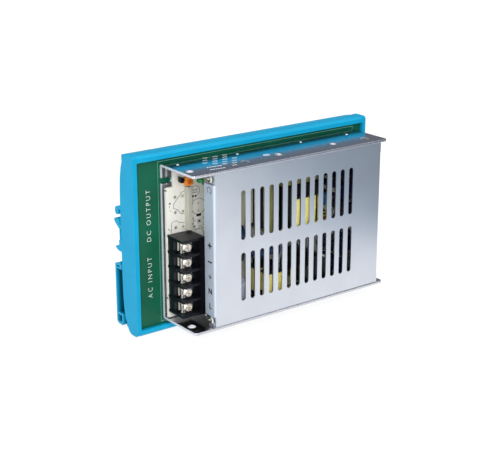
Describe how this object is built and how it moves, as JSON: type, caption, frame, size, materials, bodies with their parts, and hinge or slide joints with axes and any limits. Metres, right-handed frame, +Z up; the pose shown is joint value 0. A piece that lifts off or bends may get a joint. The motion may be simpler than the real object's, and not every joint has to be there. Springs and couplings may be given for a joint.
{
  "type": "din rail power supply",
  "caption": "Switch-mode power supply in a slotted metal case, on a board carrier that snaps onto top-hat rail, with screw terminals, an indicator and a voltage trimmer.",
  "frame": {"origin": "middle of the rail seat: the carrier's back face, level with the middle of the rail, half way along the carrier", "axes": "+X along the rail, +Y backwards to the rail and the wall, +Z up; the terminals are at -X and the cover faces -Y"},
  "size_m": [0.181, 0.0574, 0.113],
  "materials": {
    "carrier": "matt cyan-blue injection-moulded and extruded plastic",
    "latch": "matt cyan-blue injection-moulded plastic",
    "steel_spring": "bright spring steel",
    "board_green": "green solder mask on glass-fibre board",
    "zinc_screw": "bright zinc-plated steel",
    "case_metal": "satin plain aluminium sheet",
    "board_cream": "cream phenolic board with silk-screened marks",
    "insulation": "translucent film",
    "black_plastic": "matt black moulded plastic",
    "contact_metal": "nickel-plated",
    "barrier": "matt off-white plastic",
    "orange": "matt orange plastic",
    "rotor": "matt dark orange plastic",
    "led_green": "clear tinted green epoxy",
    "fuse_glass": "clear glass with metal end caps",
    "blue_coat": "glossy blue epoxy dip",
    "dark_coat": "glossy dark green-black epoxy",
    "grey_case": "lavender-grey moulded case",
    "cream_case": "cream-grey moulded case",
    "bright_sleeve": "blue shrink sleeve",
    "yellow_case": "yellow moulded case",
    "ferrite": "dark sintered ferrite",
    "yellow_tape": "yellow polyester tape",
    "copper_wire": "enamelled copper wire",
    "black_sleeve": "black shrink sleeve",
    "blue_sleeve": "dark blue shrink sleeve",
    "sink_metal": "extruded aluminium",
    "resistor_body": "beige lacquer with colour rings"
  },
  "bodies": {
    "supply": {"carrier_profile": "carrier", "end_plate_left": "carrier", "end_plate_right": "carrier", "latch_spring_left": "steel_spring", "latch_spring_right": "steel_spring", "mounting_board": "board_green", "board_screws": "zinc_screw", "chassis": "case_metal", "cover": "case_metal", "cover_screws": "zinc_screw", "corner_screws": "zinc_screw", "main_pcb": "board_cream", "pcb_standoffs": "zinc_screw", "pcb_screws": "zinc_screw", "insulation_sheet": "insulation", "terminal_block": "black_plastic", "terminal_plates": "contact_metal", "divider_bar": "barrier", "trimmer_body": "orange", "indicator_led": "led_green", "reference_transistor": "black_plastic", "fuse": "fuse_glass", "fuse_clips": "contact_metal", "surge_varistor": "blue_coat", "inrush_limiter": "dark_coat", "filter_capacitor": "grey_case", "film_capacitor": "cream_case", "y_capacitors": "blue_coat", "x_capacitor": "yellow_case", "line_choke_core": "ferrite", "line_choke_winding": "yellow_tape", "bridge_rectifier": "black_plastic", "bulk_capacitor": "black_sleeve", "transformer_core": "ferrite", "transformer_bobbin": "black_plastic", "transformer_winding": "yellow_tape", "snubber_capacitor": "yellow_case", "switching_transistor": "black_plastic", "output_diode": "black_plastic", "heat_sink": "sink_metal", "output_choke": "copper_wire", "output_capacitors": "blue_sleeve", "ripple_capacitor": "bright_sleeve", "control_chip": "black_plastic", "optocoupler": "black_plastic", "resistors": "resistor_body"},
    "latch_left": {"rail_latch_left": "latch"},
    "latch_right": {"rail_latch_right": "latch"},
    "rotor": {"trimmer_rotor": "rotor"},
    "clamp_1": {"clamp_plate_1": "contact_metal"},
    "screw_1": {"terminal_screw_1": "contact_metal"},
    "clamp_2": {"clamp_plate_2": "contact_metal"},
    "screw_2": {"terminal_screw_2": "contact_metal"},
    "clamp_3": {"clamp_plate_3": "contact_metal"},
    "screw_3": {"terminal_screw_3": "contact_metal"},
    "clamp_4": {"clamp_plate_4": "contact_metal"},
    "screw_4": {"terminal_screw_4": "contact_metal"},
    "clamp_5": {"clamp_plate_5": "contact_metal"},
    "screw_5": {"terminal_screw_5": "contact_metal"}
  },
  "joints": [
    {"name": "latch_slide_left", "type": "slide", "parent": "supply", "child": "latch_left", "axis": [0, 0, -1], "range_m": [0, 0.004], "stiffness_N_per_m": 800, "springref_m": -0.003, "deforming": ["latch_spring_left"]},
    {"name": "latch_slide_right", "type": "slide", "parent": "supply", "child": "latch_right", "axis": [0, 0, -1], "range_m": [0, 0.004], "stiffness_N_per_m": 800, "springref_m": -0.003, "deforming": ["latch_spring_right"]},
    {"name": "trimmer_turn", "type": "hinge", "parent": "supply", "child": "rotor", "pos_m": [-0.0555, -0.0236, 0.0343], "axis": [0, -1, 0], "range_deg": [-130, 130]},
    {"name": "clamp_slide_1", "type": "slide", "parent": "supply", "child": "clamp_1", "axis": [0, 1, 0], "range_m": [0, 0.00204]},
    {"name": "screw_turn_1", "type": "hinge", "parent": "clamp_1", "child": "screw_1", "pos_m": [-0.0643, -0.0316, -0.0027], "axis": [0, 1, 0], "range_deg": [0, 1225]},
    {"name": "clamp_slide_2", "type": "slide", "parent": "supply", "child": "clamp_2", "axis": [0, 1, 0], "range_m": [0, 0.00204]},
    {"name": "screw_turn_2", "type": "hinge", "parent": "clamp_2", "child": "screw_2", "pos_m": [-0.0643, -0.0316, -0.0122], "axis": [0, 1, 0], "range_deg": [0, 1225]},
    {"name": "clamp_slide_3", "type": "slide", "parent": "supply", "child": "clamp_3", "axis": [0, 1, 0], "range_m": [0, 0.00204]},
    {"name": "screw_turn_3", "type": "hinge", "parent": "clamp_3", "child": "screw_3", "pos_m": [-0.0643, -0.0316, -0.0217], "axis": [0, 1, 0], "range_deg": [0, 1225]},
    {"name": "clamp_slide_4", "type": "slide", "parent": "supply", "child": "clamp_4", "axis": [0, 1, 0], "range_m": [0, 0.00204]},
    {"name": "screw_turn_4", "type": "hinge", "parent": "clamp_4", "child": "screw_4", "pos_m": [-0.0643, -0.0316, -0.0312], "axis": [0, 1, 0], "range_deg": [0, 1225]},
    {"name": "clamp_slide_5", "type": "slide", "parent": "supply", "child": "clamp_5", "axis": [0, 1, 0], "range_m": [0, 0.00204]},
    {"name": "screw_turn_5", "type": "hinge", "parent": "clamp_5", "child": "screw_5", "pos_m": [-0.0643, -0.0316, -0.0407], "axis": [0, 1, 0], "range_deg": [0, 1225]}
  ],
  "couplings": [
    {"joint": "screw_turn_1", "follows": "clamp_slide_1", "rad_per_m": 10472},
    {"joint": "screw_turn_2", "follows": "clamp_slide_2", "rad_per_m": 10472},
    {"joint": "screw_turn_3", "follows": "clamp_slide_3", "rad_per_m": 10472},
    {"joint": "screw_turn_4", "follows": "clamp_slide_4", "rad_per_m": 10472},
    {"joint": "screw_turn_5", "follows": "clamp_slide_5", "rad_per_m": 10472}
  ]
}
